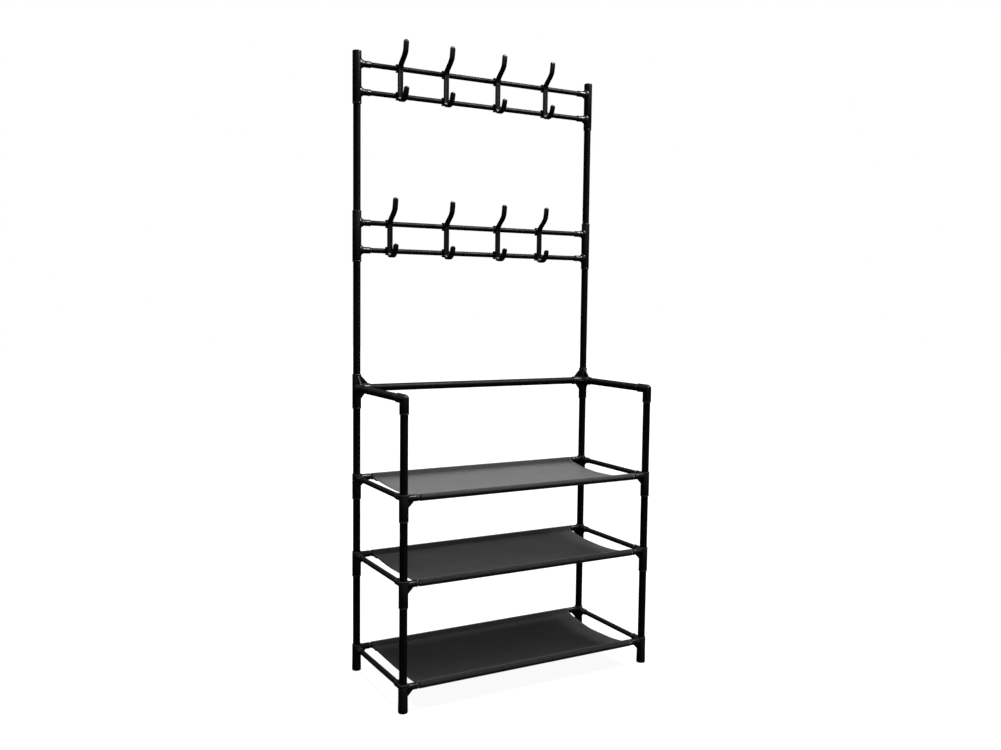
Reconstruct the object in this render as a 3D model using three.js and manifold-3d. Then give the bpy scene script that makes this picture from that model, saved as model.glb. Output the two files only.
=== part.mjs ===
// Hall tree with hooks: a push-fit tube rack with three cloth shelves, two forward arms and
// two twin-rod hook rails carrying double coat hooks. Millimetres, +X right, +Y back, +Z up.
import * as THREE from 'three';
import { mergeVertices } from 'three/addons/utils/BufferGeometryUtils.js';
import Module from 'manifold-3d';

const wasm = await Module();
wasm.setup();

// Layout of the frame, all between tube centre lines.
const FRAME_WIDTH = 584;
const FRAME_DEPTH = 252;
const SHELF_HEIGHTS = [50, 256, 426];
const ARM_HEIGHT = 620;
const LOWER_RAIL_HEIGHT = 943;
const UPPER_RAIL_HEIGHT = 1273;
const ROD_SPACING = 58;

// Tubes.
const TUBE_RADIUS = 8;
const TUBE_WALL = 0.7;
const ROD_RADIUS = 5.5;
const ROD_WALL = 0.6;
const TUBE_SIDES = 12;
const ROD_SIDES = 12;

// Plastic connectors.
const FIT_GAP = 0.3;
const SLEEVE_RADIUS = 9.8;
const SOCKET_RADIUS = 6.9;
const SOCKET_REACH = 30;
const SOCKET_FLOOR = 10.6;
const TUBE_INSET = 12;
const SHELF_RIM = 8;
const SHELF_SKIRT = 46;
const SHELF_STOP = 18;
const STOP_THICKNESS = 3;
const END_GAP = 1.2;
const WEB_THICKNESS = 3.6;
const FOOT_FLOOR = 5;
const FOOT_RADIUS = 9.9;
const FOOT_CHAMFER = 1.4;
const CROSS_RIM = 30;
const CROSS_SKIRT = 44;
const CROSS_STOP = 4;
const ELBOW_SKIRT = 30;
const HOOK_SLEEVE_HALF = 54;
const CAP_THICKNESS = 5;
const FLARE_RADIUS = 9.4;
const FLARE_REACH = 14.5;
const CAP_ROUNDING = 1.6;
const OVERSHOOT = 1;

// Cloth shelves.
const CLOTH_THICKNESS = 1.4;
const CLOTH_END_GAP = 4;
const CLOTH_SAG = 9.5;
const CLOTH_HOLLOW = 6;

// Double coat hooks, in row order from the left.
const HOOK_WIDTH = 12.2;
const HOOK_THICKNESS = 4.6;
const CLIP_WIDTH = 13;
const CLIP_RADIUS = 9;
const CLIP_MOUTH = 1.15;
const UPPER_HOOKS = [-197, -88, 41, 167];
const LOWER_HOOKS = [-220, -85, 45, 156];

const LEFT = -1;
const RIGHT = 1;
const FRONT = -1;
const REAR = 1;
const SIDES = [[LEFT, 'left'], [RIGHT, 'right']];
const DEPTHS = [[FRONT, 'front'], [REAR, 'rear']];

const TUBE_FINISH = { color: 0x111112, roughness: 0.38, metalness: 0.35 };
const CONNECTOR_FINISH = { color: 0x1a1a1c, roughness: 0.55, metalness: 0 };
const HOOK_FINISH = { color: 0x151517, roughness: 0.32, metalness: 0 };
const CLOTH_FINISH = { color: 0x3b3b3d, roughness: 0.92, metalness: 0 };

const group = new THREE.Group();
group.name = 'hall_tree';

// A closed three.js geometry as a solid, with its seams joined and its zero-size triangles dropped.
function solid(geometry) {
  const bare = geometry.clone();
  bare.deleteAttribute('uv');
  bare.deleteAttribute('normal');
  const merged = mergeVertices(bare, 1e-4);
  const index = merged.index.array;
  const kept = [];
  for (let i = 0; i < index.length; i += 3) {
    const [a, b, c] = [index[i], index[i + 1], index[i + 2]];
    if (a !== b && b !== c && c !== a) kept.push(a, b, c);
  }
  return new wasm.Manifold(new wasm.Mesh({
    numProp: 3,
    vertProperties: new Float32Array(merged.attributes.position.array),
    triVerts: new Uint32Array(kept),
  }));
}

function union(solids) {
  return solids.reduce((whole, next) => whole.add(next));
}

function cut(body, tools) {
  return tools.reduce((rest, tool) => rest.subtract(tool), body);
}

function addNode(name, shape, finish) {
  const { numProp, vertProperties, triVerts } = shape.getMesh();
  const positions = new Float32Array(vertProperties.length / numProp * 3);
  for (let v = 0; v < positions.length / 3; v += 1) {
    positions.set(vertProperties.subarray(v * numProp, v * numProp + 3), v * 3);
  }
  const geometry = new THREE.BufferGeometry();
  geometry.setAttribute('position', new THREE.BufferAttribute(positions, 3));
  geometry.setIndex(new THREE.BufferAttribute(new Uint32Array(triVerts), 1));
  geometry.computeVertexNormals();
  const mesh = new THREE.Mesh(geometry, new THREE.MeshStandardMaterial(finish));
  mesh.name = name;
  group.add(mesh);
}

// Turn a geometry made along +Y so that it runs along the named axis.
function turnTo(axis, geometry) {
  if (axis === 'x') geometry.rotateZ(-Math.PI / 2);
  if (axis === 'z') geometry.rotateX(Math.PI / 2);
  return geometry;
}

// A round bar along an axis between two stations, with the radius at each of them.
function bar(axis, from, to, radiusFrom, radiusTo, sides) {
  const [low, high] = from < to ? [from, to] : [to, from];
  const [radiusLow, radiusHigh] = from < to ? [radiusFrom, radiusTo] : [radiusTo, radiusFrom];
  const geometry = new THREE.CylinderGeometry(radiusHigh, radiusLow, high - low, sides);
  geometry.translate(0, (low + high) / 2, 0);
  return solid(turnTo(axis, geometry));
}

// An open-ended tube along an axis.
function tube(axis, from, to, radius, wall, sides) {
  const inner = radius - wall;
  const profile = [
    new THREE.Vector2(inner, from),
    new THREE.Vector2(radius, from),
    new THREE.Vector2(radius, to),
    new THREE.Vector2(inner, to),
    new THREE.Vector2(inner, from),
  ];
  return solid(turnTo(axis, new THREE.LatheGeometry(profile, sides)));
}

// A plate drawn in a vertical plane: points are [outward, up] and outward runs along the axis.
function plate(axis, points, thickness) {
  const shape = new THREE.Shape(points.map(([out, up]) => new THREE.Vector2(out, up)));
  const geometry = new THREE.ExtrudeGeometry(shape, { depth: thickness, bevelEnabled: false });
  geometry.translate(0, 0, -thickness / 2);
  geometry.rotateX(Math.PI / 2);
  if (axis === 'y') geometry.rotateZ(Math.PI / 2);
  return solid(geometry);
}

// ---- Connectors, each drawn round its own column axis with z = 0 at its sockets ----

function socket(axis, way, radius, sides) {
  return bar(axis, 0, way * SOCKET_REACH, radius, radius, sides);
}

function socketBore(axis, way, radius, sides) {
  const bore = radius + FIT_GAP;
  return bar(axis, way * SOCKET_FLOOR, way * (SOCKET_REACH + OVERSHOOT), bore, bore, sides);
}

function sleeve(from, to) {
  return bar('z', from, to, SLEEVE_RADIUS, SLEEVE_RADIUS, TUBE_SIDES);
}

function sleeveBore(from, to) {
  return bar('z', from, to, TUBE_RADIUS + FIT_GAP, TUBE_RADIUS + FIT_GAP, TUBE_SIDES);
}

function web(axis, way, points) {
  return plate(axis, points.map(([out, up]) => [way * out, up]), WEB_THICKNESS);
}

// A level three-cornered plate that ties the two sockets of a connector together at mid height.
function levelWeb(wayX, wayY, reach) {
  const corners = [[0, 0], [wayX * reach, 0], [0, wayY * reach]];
  const shape = new THREE.Shape(corners.map(([x, y]) => new THREE.Vector2(x, y)));
  const geometry = new THREE.ExtrudeGeometry(shape, { depth: WEB_THICKNESS, bevelEnabled: false });
  geometry.translate(0, 0, -WEB_THICKNESS / 2);
  return solid(geometry);
}

const SHELF_WEB = [[0, -5], [21, -6], [9, -18], [0, -18]];

function shelfConnectorBody(wayX, wayY) {
  return [
    socket('x', wayX, SOCKET_RADIUS, ROD_SIDES),
    socket('y', wayY, SOCKET_RADIUS, ROD_SIDES),
    web('x', wayX, SHELF_WEB),
    web('y', wayY, SHELF_WEB),
  ];
}

function rodBores(wayX, wayY) {
  return [
    socketBore('x', wayX, ROD_RADIUS, ROD_SIDES),
    socketBore('y', wayY, ROD_RADIUS, ROD_SIDES),
  ];
}

// Top shelf: one tube pushed in from below and one from above, meeting at a stop.
function topShelfConnector(wayX, wayY) {
  const body = union([sleeve(-SHELF_SKIRT, SHELF_RIM), ...shelfConnectorBody(wayX, wayY)]);
  return cut(body, [
    sleeveBore(-SHELF_STOP, SHELF_RIM + OVERSHOOT),
    sleeveBore(-SHELF_SKIRT - OVERSHOOT, -SHELF_STOP - STOP_THICKNESS),
    ...rodBores(wayX, wayY),
  ]);
}

// Middle shelf: the column runs straight through.
function middleShelfConnector(wayX, wayY) {
  const body = union([sleeve(-SHELF_SKIRT, SHELF_RIM), ...shelfConnectorBody(wayX, wayY)]);
  return cut(body, [sleeveBore(-SHELF_SKIRT - OVERSHOOT, SHELF_RIM + OVERSHOOT), ...rodBores(wayX, wayY)]);
}

// Bottom shelf: the sleeve flares a little and closes at the floor as the foot.
function footConnector(wayX, wayY) {
  const floor = -SHELF_HEIGHTS[0];
  const edge = floor + FOOT_CHAMFER;
  const body = union([
    sleeve(-SHELF_STOP, SHELF_RIM),
    bar('z', edge, -SHELF_STOP, FOOT_RADIUS, SLEEVE_RADIUS, TUBE_SIDES),
    bar('z', floor, edge, FOOT_RADIUS - FOOT_CHAMFER, FOOT_RADIUS, TUBE_SIDES),
    ...shelfConnectorBody(wayX, wayY),
  ]);
  return cut(body, [sleeveBore(floor + FOOT_FLOOR, SHELF_RIM + OVERSHOOT), ...rodBores(wayX, wayY)]);
}

const CROSS_UPPER_WEB = [[0, 0], [25.5, 0], [25.5, 9.5], [9, CROSS_RIM - 3], [0, CROSS_RIM - 3]];
const CROSS_LOWER_WEB = [[0, 0], [0, -22], [9, -22], [20, -9], [20, 0]];

function crossConnector(wayX, wayY) {
  const body = union([
    sleeve(-CROSS_SKIRT, CROSS_RIM),
    socket('x', wayX, SLEEVE_RADIUS, TUBE_SIDES),
    socket('y', wayY, SLEEVE_RADIUS, TUBE_SIDES),
    web('x', wayX, CROSS_UPPER_WEB),
    web('y', wayY, CROSS_UPPER_WEB),
    web('x', wayX, CROSS_LOWER_WEB),
    web('y', wayY, CROSS_LOWER_WEB),
    levelWeb(wayX, wayY, SOCKET_REACH),
  ]);
  return cut(body, [
    sleeveBore(-CROSS_STOP, CROSS_RIM + OVERSHOOT),
    sleeveBore(-CROSS_SKIRT - OVERSHOOT, -CROSS_STOP - STOP_THICKNESS),
    socketBore('x', wayX, TUBE_RADIUS, TUBE_SIDES),
    socketBore('y', wayY, TUBE_RADIUS, TUBE_SIDES),
  ]);
}

function elbowConnector() {
  const corner = new THREE.SphereGeometry(SLEEVE_RADIUS - 0.05, TUBE_SIDES, TUBE_SIDES / 2);
  const body = union([
    solid(corner),
    sleeve(-ELBOW_SKIRT, 0),
    socket('y', REAR, SLEEVE_RADIUS, TUBE_SIDES),
  ]);
  return cut(body, [
    sleeveBore(-ELBOW_SKIRT - OVERSHOOT, -SOCKET_FLOOR),
    socketBore('y', REAR, TUBE_RADIUS, TUBE_SIDES),
  ]);
}

// Two rod sockets one above the other, each flaring into the sleeve.
function hookSockets(wayX) {
  const levels = [-ROD_SPACING / 2, ROD_SPACING / 2];
  return levels.flatMap((level) => [
    socket('x', wayX, SOCKET_RADIUS, ROD_SIDES),
    bar('x', wayX * 2, wayX * FLARE_REACH, FLARE_RADIUS, SOCKET_RADIUS, ROD_SIDES),
  ].map((shape) => shape.translate([0, 0, level])));
}

function hookSocketBores(wayX) {
  const levels = [-ROD_SPACING / 2, ROD_SPACING / 2];
  return levels.map((level) => (
    socketBore('x', wayX, ROD_RADIUS, ROD_SIDES).translate([0, 0, level])
  ));
}

function lowerHookConnector(wayX) {
  const half = HOOK_SLEEVE_HALF;
  const body = union([sleeve(-half, half), ...hookSockets(wayX)]);
  return cut(body, [sleeveBore(-half - OVERSHOOT, half + OVERSHOOT), ...hookSocketBores(wayX)]);
}

function upperHookConnector(wayX) {
  const half = HOOK_SLEEVE_HALF;
  const shoulder = half + 1 - CAP_ROUNDING;
  const cap = bar('z', shoulder, half + 1, SLEEVE_RADIUS, SLEEVE_RADIUS - CAP_ROUNDING, TUBE_SIDES);
  const body = union([sleeve(-half, shoulder), cap, ...hookSockets(wayX)]);
  return cut(body, [sleeveBore(-half - OVERSHOOT, half - CAP_THICKNESS), ...hookSocketBores(wayX)]);
}

// ---- Cloth shelf: a sagging sheet between two sleeves sewn round the long rods ----

function clothSleeve(y, halfLength) {
  const radius = ROD_RADIUS + FIT_GAP + CLOTH_THICKNESS;
  return tube('x', -halfLength, halfLength, radius, CLOTH_THICKNESS, ROD_SIDES)
    .translate([0, y, 0]);
}

function clothSheet(halfLength) {
  const steps = 10;
  const line = [];
  for (let i = 0; i <= steps; i += 1) {
    const t = i / steps * 2 - 1;
    line.push([t * FRAME_DEPTH / 2, -CLOTH_SAG * (1 - t * t)]);
  }
  const half = CLOTH_THICKNESS / 2;
  const upper = line.map(([y, z]) => [y, z + half]);
  const lower = line.map(([y, z]) => [y, z - half]).reverse();
  const strip = plate('y', [...upper, ...lower], halfLength * 2);
  return strip.intersect(clothOutline(halfLength));
}

// Plan outline of the sheet, its two side edges curving in towards the middle.
function clothOutline(halfLength) {
  const steps = 6;
  const reach = FRAME_DEPTH / 2 + ROD_RADIUS;
  const edge = [];
  for (let i = 0; i <= steps; i += 1) {
    const t = i / steps * 2 - 1;
    edge.push([halfLength - CLOTH_HOLLOW * (1 - t * t), t * reach]);
  }
  const outline = [...edge, ...edge.map(([x, y]) => [-x, -y])];
  const shape = new THREE.Shape(outline.map(([x, y]) => new THREE.Vector2(x, y)));
  const height = 4 * CLOTH_SAG;
  const geometry = new THREE.ExtrudeGeometry(shape, { depth: height, bevelEnabled: false });
  geometry.translate(0, 0, -height / 2);
  return solid(geometry);
}

function clothShelf() {
  const halfLength = FRAME_WIDTH / 2 - SOCKET_REACH - CLOTH_END_GAP;
  const bore = ROD_RADIUS + FIT_GAP;
  const reach = halfLength + OVERSHOOT;
  const rodSpace = [FRONT, REAR].map((side) => (
    bar('x', -reach, reach, bore, bore, ROD_SIDES).translate([0, side * FRAME_DEPTH / 2, 0])
  ));
  const cloth = union([
    clothSheet(halfLength),
    clothSleeve(-FRAME_DEPTH / 2, halfLength),
    clothSleeve(FRAME_DEPTH / 2, halfLength),
  ]);
  return cut(cloth, rodSpace);
}

// ---- Double coat hook, drawn sideways: [forward of the rod centres, up from the rail centre] ----

const STRUT_OUT = 8.6;
const UPPER_ROD = ROD_SPACING / 2;
const LOWER_ROD = -ROD_SPACING / 2;
const HOOK_LINE = [
  [39.2, UPPER_ROD + 52],
  [38.4, UPPER_ROD + 44],
  [37, UPPER_ROD + 36],
  [34.8, UPPER_ROD + 28.5],
  [28, UPPER_ROD + 20.5],
  [18.5, UPPER_ROD + 12.8],
  [12, UPPER_ROD + 6.5],
  [STRUT_OUT, UPPER_ROD - 2],
  [STRUT_OUT, LOWER_ROD - 4],
  [10.2, LOWER_ROD - 8.4],
  [14, LOWER_ROD - 11.2],
  [20, LOWER_ROD - 12],
  [27, LOWER_ROD - 10.8],
  [33, LOWER_ROD - 7],
  [37.2, LOWER_ROD - 1.5],
  [40, LOWER_ROD + 5.5],
  [42.2, LOWER_ROD + 13],
];

// The outline of a ribbon of even thickness that follows a line, with rounded ends.
function ribbon(line, thickness) {
  const points = line.map(([out, up]) => new THREE.Vector2(out, up));
  const half = thickness / 2;
  const near = [];
  const far = [];
  points.forEach((point, i) => {
    const before = points[Math.max(i - 1, 0)];
    const after = points[Math.min(i + 1, points.length - 1)];
    const along = after.clone().sub(before).normalize();
    const across = new THREE.Vector2(-along.y, along.x).multiplyScalar(half);
    near.push(point.clone().add(across));
    far.push(point.clone().sub(across));
  });
  const tips = [[0, 1], [points.length - 1, points.length - 2]].map(([end, inner]) => {
    const out = points[end].clone().sub(points[inner]).normalize().multiplyScalar(half * 0.8);
    return points[end].clone().add(out);
  });
  return [tips[0], ...near, tips[1], ...far.reverse()].map((p) => [p.x, p.y]);
}

// A C-shaped clip round one rod, open towards the back.
function clip(level) {
  const steps = 6;
  const bore = (ROD_RADIUS + FIT_GAP) / Math.cos((Math.PI - CLIP_MOUTH) / steps);
  const outer = [];
  const inner = [];
  for (let i = 0; i <= steps; i += 1) {
    const angle = (Math.PI - CLIP_MOUTH) * (i / steps * 2 - 1);
    outer.push([CLIP_RADIUS * Math.cos(angle), level + CLIP_RADIUS * Math.sin(angle)]);
    inner.push([bore * Math.cos(angle), level + bore * Math.sin(angle)]);
  }
  return plate('y', [...outer, ...inner.reverse()], CLIP_WIDTH);
}

function doubleHook() {
  const forwards = union([
    plate('y', ribbon(HOOK_LINE, HOOK_THICKNESS), HOOK_WIDTH),
    clip(UPPER_ROD),
    clip(LOWER_ROD),
  ]);
  return forwards.rotate([0, 0, 180]);
}

// ---- The rack ----

const halfWidth = FRAME_WIDTH / 2;
const halfDepth = FRAME_DEPTH / 2;
const [BOTTOM, MIDDLE, TOP] = SHELF_HEIGHTS;
const LEVELS = [[BOTTOM, 'bottom'], [MIDDLE, 'middle'], [TOP, 'top']];

function column(x, y, from, to) {
  return tube('z', from, to, TUBE_RADIUS, TUBE_WALL, TUBE_SIDES).translate([x, y, 0]);
}

function addUprights() {
  const bottomEnd = FOOT_FLOOR + END_GAP;
  const topLow = TOP - SHELF_STOP - STOP_THICKNESS - END_GAP;
  const topHigh = TOP - SHELF_STOP + END_GAP;
  const crossLow = ARM_HEIGHT - CROSS_STOP - STOP_THICKNESS - END_GAP;
  const crossHigh = ARM_HEIGHT - CROSS_STOP + END_GAP;
  const elbowEnd = ARM_HEIGHT - SOCKET_FLOOR - END_GAP;
  const summit = UPPER_RAIL_HEIGHT + HOOK_SLEEVE_HALF - CAP_THICKNESS - END_GAP;
  for (const [sx, side] of SIDES) {
    const x = sx * halfWidth;
    for (const [sy, depth] of DEPTHS) {
      const legName = `leg_tube_${depth}_${side}`;
      addNode(legName, column(x, sy * halfDepth, bottomEnd, topLow), TUBE_FINISH);
    }
    const front = column(x, -halfDepth, topHigh, elbowEnd);
    addNode(`arm_post_tube_${side}`, front, TUBE_FINISH);
    addNode(`back_post_tube_${side}`, column(x, halfDepth, topHigh, crossLow), TUBE_FINISH);
    addNode(`mast_tube_${side}`, column(x, halfDepth, crossHigh, summit), TUBE_FINISH);
  }
}

function rodAlongX(y, z) {
  const end = halfWidth - TUBE_INSET;
  return tube('x', -end, end, ROD_RADIUS, ROD_WALL, ROD_SIDES).translate([0, y, z]);
}

function addShelfRods() {
  const end = halfDepth - TUBE_INSET;
  for (const [z, level] of LEVELS) {
    for (const [sy, depth] of DEPTHS) {
      addNode(`${level}_shelf_rod_${depth}`, rodAlongX(sy * halfDepth, z), TUBE_FINISH);
    }
    for (const [sx, side] of SIDES) {
      const rail = tube('y', -end, end, ROD_RADIUS, ROD_WALL, ROD_SIDES);
      addNode(`${level}_shelf_side_rail_${side}`, rail.translate([sx * halfWidth, 0, z]), TUBE_FINISH);
    }
  }
}

function addArms() {
  const endX = halfWidth - TUBE_INSET;
  const endY = halfDepth - TUBE_INSET;
  const backRod = tube('x', -endX, endX, TUBE_RADIUS, TUBE_WALL, TUBE_SIDES);
  addNode('arm_level_back_rod', backRod.translate([0, halfDepth, ARM_HEIGHT]), TUBE_FINISH);
  for (const [sx, side] of SIDES) {
    const arm = tube('y', -endY, endY, TUBE_RADIUS, TUBE_WALL, TUBE_SIDES);
    addNode(`arm_tube_${side}`, arm.translate([sx * halfWidth, 0, ARM_HEIGHT]), TUBE_FINISH);
  }
}

function addConnectors() {
  const shelfMakers = [footConnector, middleShelfConnector, topShelfConnector];
  const shelfNames = ['foot', 'middle_shelf_connector', 'top_shelf_connector'];
  for (const [sx, side] of SIDES) {
    const x = sx * halfWidth;
    for (const [sy, depth] of DEPTHS) {
      SHELF_HEIGHTS.forEach((z, i) => {
        const shape = shelfMakers[i](-sx, -sy).translate([x, sy * halfDepth, z]);
        addNode(`${shelfNames[i]}_${depth}_${side}`, shape, CONNECTOR_FINISH);
      });
    }
    const cross = crossConnector(-sx, FRONT).translate([x, halfDepth, ARM_HEIGHT]);
    addNode(`cross_connector_${side}`, cross, CONNECTOR_FINISH);
    const elbow = elbowConnector().translate([x, -halfDepth, ARM_HEIGHT]);
    addNode(`elbow_connector_${side}`, elbow, CONNECTOR_FINISH);
    const lower = lowerHookConnector(-sx).translate([x, halfDepth, LOWER_RAIL_HEIGHT]);
    addNode(`lower_hook_connector_${side}`, lower, CONNECTOR_FINISH);
    const upper = upperHookConnector(-sx).translate([x, halfDepth, UPPER_RAIL_HEIGHT]);
    addNode(`upper_hook_connector_${side}`, upper, CONNECTOR_FINISH);
  }
}

function addHookRail(rail, height, places) {
  for (const [sign, which] of [[1, 'top'], [-1, 'bottom']]) {
    const rod = rodAlongX(halfDepth, height + sign * ROD_SPACING / 2);
    addNode(`${rail}_rail_rod_${which}`, rod, TUBE_FINISH);
  }
  places.forEach((x, i) => {
    const hook = doubleHook().translate([x, halfDepth, height]);
    addNode(`${rail}_hook_${i + 1}`, hook, HOOK_FINISH);
  });
}

addUprights();
addShelfRods();
addArms();
addConnectors();
addHookRail('upper', UPPER_RAIL_HEIGHT, UPPER_HOOKS);
addHookRail('lower', LOWER_RAIL_HEIGHT, LOWER_HOOKS);
for (const [z, level] of LEVELS) {
  addNode(`${level}_shelf_cloth`, clothShelf().translate([0, 0, z]), CLOTH_FINISH);
}

export default group;
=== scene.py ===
"""Hall tree with hooks: tubes, moulded connectors, sewn cloth shelves and sliding double hooks."""
import bisect
import math
import bmesh
import bpy
from mathutils import Matrix, Vector, noise


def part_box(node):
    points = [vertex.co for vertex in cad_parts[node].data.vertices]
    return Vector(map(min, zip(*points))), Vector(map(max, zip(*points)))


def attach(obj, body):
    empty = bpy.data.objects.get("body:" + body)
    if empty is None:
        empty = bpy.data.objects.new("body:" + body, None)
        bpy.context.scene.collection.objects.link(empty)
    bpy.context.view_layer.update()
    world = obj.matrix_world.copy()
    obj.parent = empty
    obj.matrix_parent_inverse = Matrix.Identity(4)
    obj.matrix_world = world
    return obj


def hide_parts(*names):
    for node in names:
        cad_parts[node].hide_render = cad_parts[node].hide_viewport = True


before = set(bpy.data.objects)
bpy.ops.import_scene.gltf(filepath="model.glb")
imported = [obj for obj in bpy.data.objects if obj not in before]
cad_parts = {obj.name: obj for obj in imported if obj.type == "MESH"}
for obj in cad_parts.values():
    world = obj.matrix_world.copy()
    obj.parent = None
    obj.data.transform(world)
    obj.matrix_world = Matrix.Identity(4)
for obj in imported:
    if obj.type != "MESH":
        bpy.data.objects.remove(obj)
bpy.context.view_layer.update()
MM = 0.001
TAU = 2 * math.pi

SIDES = ("left", "right")
DEPTHS = ("front", "rear")
LEVELS = ("bottom", "middle", "top")
RAILS = ("upper", "lower")
RODS_OF_RAIL = ("top", "bottom")

# ---------------------------------------------------------------- tubes, in mm
TUBE_R, TUBE_WALL = 8.0, 0.7
ROD_R, ROD_WALL = 5.5, 0.6
TUBE_LIP = 0.25
HALF_JOINT_GAP = 0.6
ROUND_SIDES = 40

# ---------------------------------------------------------------- moulded connectors, in mm
SLEEVE_R, SLEEVE_BORE = 9.5, 8.3
SLEEVE_SIDES = 48
SOCKET_R, SOCKET_BORE = 6.9, 5.8
REACH, FLOOR = 30.0, 10.6
BEAD, BEAD_ROOT = 0.3, 0.15
BEAD_BAND, BEAD_FOOT, BEAD_STEPS = 2.2, 0.4, 6
# How much wider a socket starts than it goes on, and over what length it narrows.
SHELF_FLARE, CROSS_FLARE, HOOK_FLARE = (1.6, 3.6), (0.35, 2.0), (4.6, 8.5)
FLARE_STEPS, FLARE_POWER = 6, 2.4
# A socket starts this far inside the sleeve, and is this much narrower than the sleeve is.
SOCKET_SINK, SOCKET_MARGIN, SOCKET_LIFT = 0.5, 0.4, 0.02
# The faces of the stop between two tubes, measured from the sockets' height.
TOP_SHELF_STOP, CROSS_STOP = (-21, -18), (-7, -4)
# Outside of a foot as (change of radius, height over its lower end).
FOOT_PROFILE = [(-1.6, 0), (-0.4, 0.5), (0.4, 2.2), (0.35, 7), (0, 30)]
FOOT_FLOOR = 5
CAP_THICKNESS, CAP_ROUNDING = 6, 2.4
DOME_STEPS = 20
WEB_THICKNESS, WEB_SOFTENING, WEB_ROOT, WEB_FACE = 3.2, 0.8, 1.2, 0.05
SHELF_WEB = [(8.9, -6.4), (21.5, -6.4), (20.6, -7.6), (9.4, -19.0), (8.9, -19.4)]
CROSS_UPPER_WEB = [(8.9, 8.6), (26.0, 8.6), (25.4, 10.0), (10.0, 26.4), (8.9, 27.0)]
CROSS_LOWER_WEB = [(8.9, -8.6), (21.0, -8.6), (20.4, -9.8), (10.0, -23.0), (8.9, -23.5)]

# ---------------------------------------------------------------- double hooks, in mm
ROD_SPACING = 58.0
UP, DOWN = ROD_SPACING / 2, -ROD_SPACING / 2
STRUT_OUT = 8.6
HOOK_HALF_WIDTH, HOOK_HALF_DEPTH, HOOK_BROADENING = 5.85, 2.4, 0.2
HOOK_CORNER, CORNER_LIMIT = 1.5, 0.8
HOOK_GROOVE, GROOVE_POWER, GROOVE_HALF_STEPS = 0.9, 0.7, 4
# The hook is broad between these distances from its upper and lower tips, and fades in over the third.
BROAD_UPPER, BROAD_LOWER, BROAD_FADE = 50, 42, 22
# The groove ends this far under the upper rod and this far out, and fades over the third.
GROOVE_UNDER, GROOVE_OUT, GROOVE_FADE = 5, 27, 8
HOOK_TIP, TIP_STEPS, BAR_STEPS = 5.2, 9, 96
# Middle line of a hook from its upper tip to its lower one, as (out from the rods, up).
HOOK_LINE = [
    (39.2, UP + 53.6), (38.4, UP + 44), (37, UP + 36), (34.8, UP + 28.5), (28, UP + 20.5),
    (18.5, UP + 12.8), (12, UP + 6.5), (STRUT_OUT, UP - 2), (STRUT_OUT, UP - 10), (STRUT_OUT, 0),
    (STRUT_OUT, DOWN + 6), (STRUT_OUT, DOWN - 4), (10.2, DOWN - 8.4), (14, DOWN - 11.2),
    (20, DOWN - 12), (27, DOWN - 10.8), (33, DOWN - 7), (37.2, DOWN - 1.5), (40, DOWN + 5.5),
    (42.6, DOWN + 14.6),
]
CLIP_R, CLIP_BORE, CLIP_HALF_WIDTH, CLIP_SOFTENING = 9.0, 5.85, 6.5, 0.6
CLIP_MOUTH, CLIP_STEPS = 1.15, 24

# ---------------------------------------------------------------- sewn cloth shelves, in mm
CLOTH_HALF = 0.45
SLEEVE_LINE, SLEEVE_STEPS = 6.85, 26
SEAM_OUT, SEAM_DROP = 10.5, 1.5
SAG, HOLLOW = 9.5, 6.0
COLUMNS, ROWS = 120, 52
# Soft waves of the panel: their height, lengths and shift from shelf to shelf, and the height at the sides.
RIPPLE, RIPPLE_X, RIPPLE_Y, RIPPLE_SHIFT, SIDE_WAVE = 1.2, 110, 90, 11.3, 0.8
HEM_COLUMNS, FLAP_ROWS = 2, 3
LAYER, SLEEVE_LAYER = 1.15, 0.92
FOLD_OUT = 0.5
DOWNWARD = Vector((0, 0, -1))
# Settings of the cloth simulation in which each panel hangs from its two seams.
CLOTH_SETTINGS = {
    "quality": 6, "mass": 0.00025, "tension_stiffness": 60, "compression_stiffness": 30,
    "shear_stiffness": 20, "bending_stiffness": 0.6, "vertex_group_mass": "seams", "shrink_min": 0.0,
}
CLOTH_FRAMES, LARGEST_MOVE = 18, 7.0
STITCH_PITCH, STITCH_LENGTH, STITCH_LIFT, STITCH_SIDES = 3.9, 2.7, 0.1, 6
# How far seam and hem stitches lie from one line of the cloth's grid to the next.
SEAM_STITCH, HEM_STITCH = 0.35, 0.3
# A stitch as (place along it, radius).
STITCH_PROFILE = ((0.04, 0.16), (0.3, 0.34), (0.7, 0.34), (0.96, 0.16))

# ---------------------------------------------------------------- tones
# Share of the lighter colour painted on the marked bead rims and web edges, as a highlight.
PAINTED_EDGE_HIGHLIGHT = 0.8
CLOTH_TONES = [
    (0.35, (0.007, 0.007, 0.0072)), (0.5, (0.012, 0.012, 0.0122)), (0.65, (0.026, 0.026, 0.0262)),
]
FLOOR_TONES = [(0.3, (0.09, 0.09, 0.09)), (0.7, (0.1, 0.1, 0.1))]

# ---------------------------------------------------------------- studio, in metres
FLOOR_REACH, FLOOR_STEPS = 14.0, 24
ROOM_BRIGHT_SIDE = (0.1, -0.72, 0.68)
ROOM_IN_GLOSS, ROOM_ON_SURFACES = 0.8, 0.4
ROOM_TONES = [(0.0, 0.025), (0.35, 0.075), (0.8, 0.2), (1.0, 0.27)]
# Each lamp's name, kind, place, aim, energy, whether it is only reflected, and other settings.
LAMPS = [
    ("overhead_sun", "SUN", (0.35, 0.05, 4), (0, 0, 0), 9.6, False, {"angle": math.radians(24)}),
    ("back_sheen", "AREA", (1.2, 2.4, 1.7), (0, 0, 1.1), 5, False,
     {"shape": "RECTANGLE", "size": 1.4, "size_y": 0.8, "spread": math.radians(42)}),
    ("front_card", "AREA", (-1.3, -2.4, 1.3), (0, 0, 0.75), 0.2, True,
     {"shape": "RECTANGLE", "size": 0.5, "size_y": 1.6}),
    ("hook_box", "AREA", (0.85, -0.8, 2.3), (0, 0.1, 1.15), 6, True,
     {"shape": "SQUARE", "size": 0.5, "spread": math.radians(60)}),
]
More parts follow.
